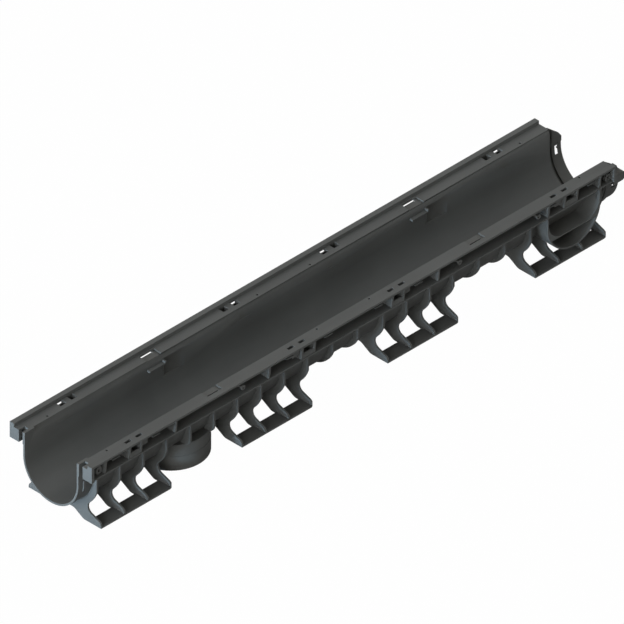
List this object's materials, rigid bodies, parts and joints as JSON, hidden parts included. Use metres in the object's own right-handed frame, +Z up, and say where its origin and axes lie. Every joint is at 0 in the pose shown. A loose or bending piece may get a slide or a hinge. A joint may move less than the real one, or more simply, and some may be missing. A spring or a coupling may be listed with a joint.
{
  "type": "channel drain",
  "caption": "Plastic linear drainage channel body, open at the top and both ends, with grate rails, ribbed feet and a bottom outlet spigot.",
  "frame": {"origin": "centre of the footprint, on the plane under the feet and the outlet", "axes": "+X along the channel from the plug end to the socket end, +Y across it, +Z up out of the open top"},
  "size_m": [1.0274, 0.1564, 0.1178],
  "materials": {
    "channel_plastic": "matt charcoal moulded plastic"
  },
  "bodies": {
    "root": {"channel_body": "channel_plastic"}
  },
  "joints": []
}
